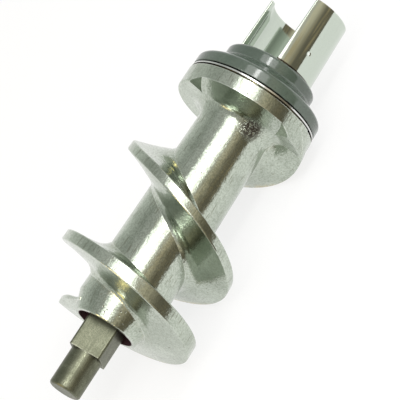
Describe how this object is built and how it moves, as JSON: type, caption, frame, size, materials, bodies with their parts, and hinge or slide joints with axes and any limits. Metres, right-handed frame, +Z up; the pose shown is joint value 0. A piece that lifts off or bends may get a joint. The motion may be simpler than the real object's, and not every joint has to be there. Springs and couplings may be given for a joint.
{
  "type": "meat grinder auger",
  "caption": "Left-handed cast screw with a growing lead that carries meat through a grinder barrel, with a square knife spindle, a thrust flange, a loose rear bush and a forked drive shank.",
  "frame": {"origin": "centre of the bounding box, at the surface the screw lies on", "axes": "+X along the lying screw from the knife spindle towards the drive shank, +Z up"},
  "size_m": [0.135, 0.0486, 0.0488],
  "materials": {
    "cast_aluminium": "bright polished die casting",
    "spindle_steel": "satin, drawn and sintered",
    "washer_steel": "bright stamped",
    "bush_plastic": "satin moulded"
  },
  "bodies": {
    "auger": {"auger_body": "cast_aluminium", "knife_spindle": "spindle_steel", "thrust_washer": "washer_steel"},
    "bush": {"rear_bush": "bush_plastic"}
  },
  "joints": [
    {"name": "bush_turn", "type": "hinge", "parent": "auger", "child": "bush", "pos_m": [0.03882, 0.00007, 0.02068], "axis": [0.9986, 0, -0.0529], "continuous": true}
  ]
}
